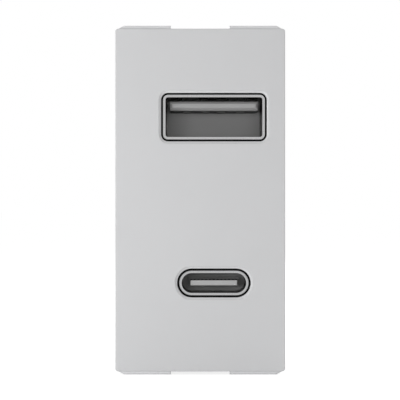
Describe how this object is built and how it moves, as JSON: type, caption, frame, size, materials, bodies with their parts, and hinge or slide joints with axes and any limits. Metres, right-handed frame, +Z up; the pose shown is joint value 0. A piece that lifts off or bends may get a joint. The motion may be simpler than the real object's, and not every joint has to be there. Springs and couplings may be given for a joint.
{
  "type": "usb wall socket",
  "caption": "Narrow snap-in wall charger module with a USB-A socket above a USB-C socket and rear screw terminals.",
  "frame": {"origin": "centre of the plain front face, midway between the two sockets", "axes": "+X to the right seen from the front, +Y into the wall, +Z up"},
  "size_m": [0.022, 0.0354, 0.045],
  "materials": {
    "face_plastic": "satin silver-grey moulding",
    "housing_plastic": "fine matt moulding",
    "block_plastic": "matt moulding",
    "brass": "stamped",
    "cage_steel": "zinc plated",
    "screw_steel": "zinc plated",
    "shell_steel": "nickel plated",
    "seal_rubber": "soft moulding",
    "tongue_plastic": "moulded grey",
    "c_tongue_plastic": "moulded grey",
    "contact_plating": "nickel plated",
    "board": "solder mask",
    "chip": "moulded epoxy",
    "ceramic_part": "fired",
    "fuse_body": "moulded",
    "ferrite": "ground",
    "bobbin_plastic": "moulded",
    "winding_tape": "polyester tape",
    "sleeve_black": "shrink sleeve",
    "can_aluminium": "drawn",
    "sheet_film": "polyester film"
  },
  "bodies": {
    "module": {"front_cover": "face_plastic", "housing": "housing_plastic", "terminal_block": "block_plastic", "terminal_bar_line": "brass", "terminal_bar_neutral": "brass", "usb_a_shell": "shell_steel", "usb_c_shell": "shell_steel", "usb_c_mid_plate": "shell_steel", "usb_a_seal": "seal_rubber", "usb_c_seal": "seal_rubber", "usb_a_insulator": "tongue_plastic", "usb_c_insulator": "c_tongue_plastic", "usb_a_contacts": "contact_plating", "usb_c_contacts": "contact_plating", "port_board": "board", "power_board": "board", "port_controller": "chip", "bridge_rectifier": "chip", "primary_controller": "chip", "sync_rectifier": "chip", "port_capacitors": "ceramic_part", "safety_capacitor": "ceramic_part", "fuse": "fuse_body", "filter_choke": "ferrite", "transformer_core_upper": "ferrite", "transformer_core_lower": "ferrite", "transformer_bobbin": "bobbin_plastic", "transformer_winding": "winding_tape", "input_capacitor_1": "sleeve_black", "input_capacitor_2": "sleeve_black", "output_capacitor_1": "can_aluminium", "output_capacitor_2": "can_aluminium", "insulating_sheet": "sheet_film"},
    "screw_line": {"terminal_screw_line": "screw_steel"},
    "screw_neutral": {"terminal_screw_neutral": "screw_steel"},
    "cage_line": {"terminal_cage_line": "cage_steel"},
    "cage_neutral": {"terminal_cage_neutral": "cage_steel"}
  },
  "joints": [
    {"name": "cage_rise_line", "type": "slide", "parent": "module", "child": "cage_line", "axis": [0, 0, 1], "range_m": [0, 0.003]},
    {"name": "screw_turn_line", "type": "hinge", "parent": "module", "child": "screw_line", "pos_m": [-0.0041, 0.0306, 0.016], "axis": [0, 0, -1], "range_deg": [0, 2160]},
    {"name": "cage_rise_neutral", "type": "slide", "parent": "module", "child": "cage_neutral", "axis": [0, 0, 1], "range_m": [0, 0.003]},
    {"name": "screw_turn_neutral", "type": "hinge", "parent": "module", "child": "screw_neutral", "pos_m": [0.0041, 0.0306, 0.016], "axis": [0, 0, -1], "range_deg": [0, 2160]}
  ],
  "couplings": [
    {"joint": "screw_turn_line", "follows": "cage_rise_line", "rad_per_m": 12566},
    {"joint": "screw_turn_neutral", "follows": "cage_rise_neutral", "rad_per_m": 12566}
  ]
}
